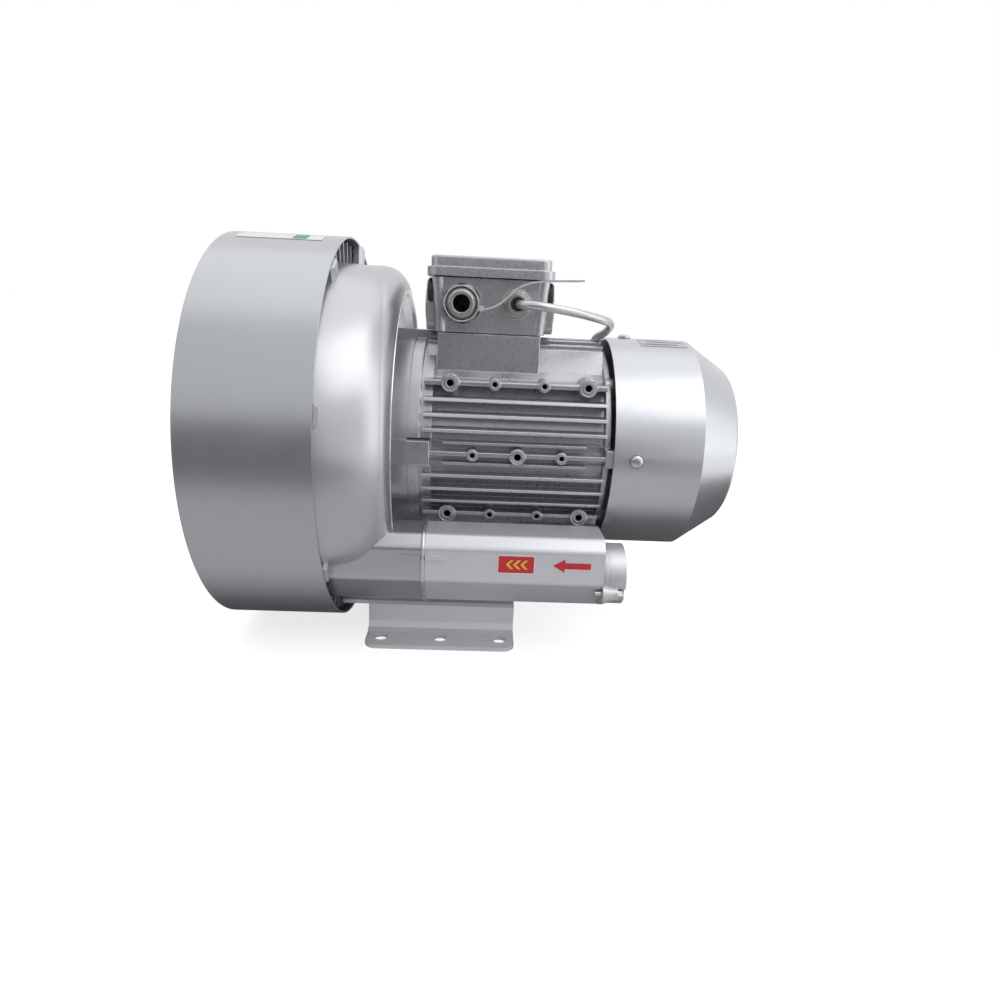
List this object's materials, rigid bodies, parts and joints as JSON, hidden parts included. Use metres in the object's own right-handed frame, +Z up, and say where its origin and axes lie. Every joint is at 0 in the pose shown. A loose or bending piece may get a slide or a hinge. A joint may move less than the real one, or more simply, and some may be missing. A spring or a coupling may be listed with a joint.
{
  "type": "side channel blower",
  "caption": "Side channel blower: finned motor on a round impeller casing, silencers with threaded ports, terminal box and pressed steel foot.",
  "frame": {"origin": "centre of the four outer foot holes, on the floor under the shaft", "axes": "+X along the shaft from the impeller casing to the fan cowl, -Y towards the suction silencer, +Z up"},
  "size_m": [0.488, 0.3819, 0.391],
  "materials": {
    "painted_casting": "silver lacquer over die cast aluminium, satin",
    "painted_sheet": "silver lacquer over sheet steel, satin",
    "zinc_steel": "zinc plated, semi gloss",
    "bearing_steel": "ground steel",
    "bare_aluminium": "machined casting",
    "sheet_stack": "varnished sheet stack",
    "copper_winding": "enamelled copper, varnished",
    "black_rubber": "matt",
    "black_plastic": "moulded, matt",
    "brass": "bright",
    "painted_gland": "silver lacquer, satin",
    "painted_lead": "jacket under silver overspray",
    "nylon": "natural nylon",
    "foam": "open cell foam"
  },
  "bodies": {
    "housing": {"cover_ring": "painted_sheet", "ring_screws": "zinc_steel", "front_cover": "painted_casting", "middle_housing": "painted_casting", "rear_housing": "painted_casting", "housing_bolts": "zinc_steel", "hub_cap": "painted_sheet", "hub_cap_screws": "zinc_steel", "shaft_seal": "black_rubber", "drive_bearing_outer": "bearing_steel", "fan_bearing_outer": "bearing_steel", "motor_frame": "painted_casting", "frame_bolts": "zinc_steel", "stator_core": "sheet_stack", "stator_windings": "copper_winding", "fan_end_shield": "painted_casting", "shield_bolts": "zinc_steel", "fan_cowl": "painted_sheet", "cowl_screws": "zinc_steel", "terminal_box_base": "painted_casting", "box_gasket": "black_rubber", "box_screws": "zinc_steel", "lid_gasket": "black_rubber", "terminal_box_lid": "painted_casting", "lid_screws": "zinc_steel", "terminal_board": "black_plastic", "terminal_studs": "brass", "power_gland_body": "painted_gland", "power_gland_washer": "black_rubber", "power_gland_nut": "painted_gland", "power_gland_seal": "black_rubber", "sensor_gland_body": "painted_gland", "sensor_gland_nut": "painted_gland", "sensor_gland_seal": "black_rubber", "sensor_lead": "painted_lead", "cable_tie": "nylon", "suction_silencer": "painted_sheet", "suction_foam": "foam", "suction_port": "painted_casting", "discharge_silencer": "painted_sheet", "discharge_foam": "foam", "discharge_port": "painted_casting", "port_bolts": "zinc_steel", "foot_plate": "painted_sheet", "foot_bolts": "zinc_steel"},
    "rotor": {"impeller_front": "bare_aluminium", "impeller_rear": "bare_aluminium", "impeller_spacer": "bearing_steel", "impeller_key": "bearing_steel", "shaft_washer": "zinc_steel", "shaft_nut": "zinc_steel", "shaft": "bearing_steel", "drive_bearing_inner": "bearing_steel", "drive_bearing_balls": "bearing_steel", "fan_bearing_inner": "bearing_steel", "fan_bearing_balls": "bearing_steel", "rotor_core": "sheet_stack", "cooling_fan": "black_plastic", "fan_clip": "zinc_steel"}
  },
  "joints": [
    {"name": "rotor_spin", "type": "hinge", "parent": "housing", "child": "rotor", "pos_m": [0, 0, 0.2], "axis": [1, 0, 0], "continuous": true}
  ]
}
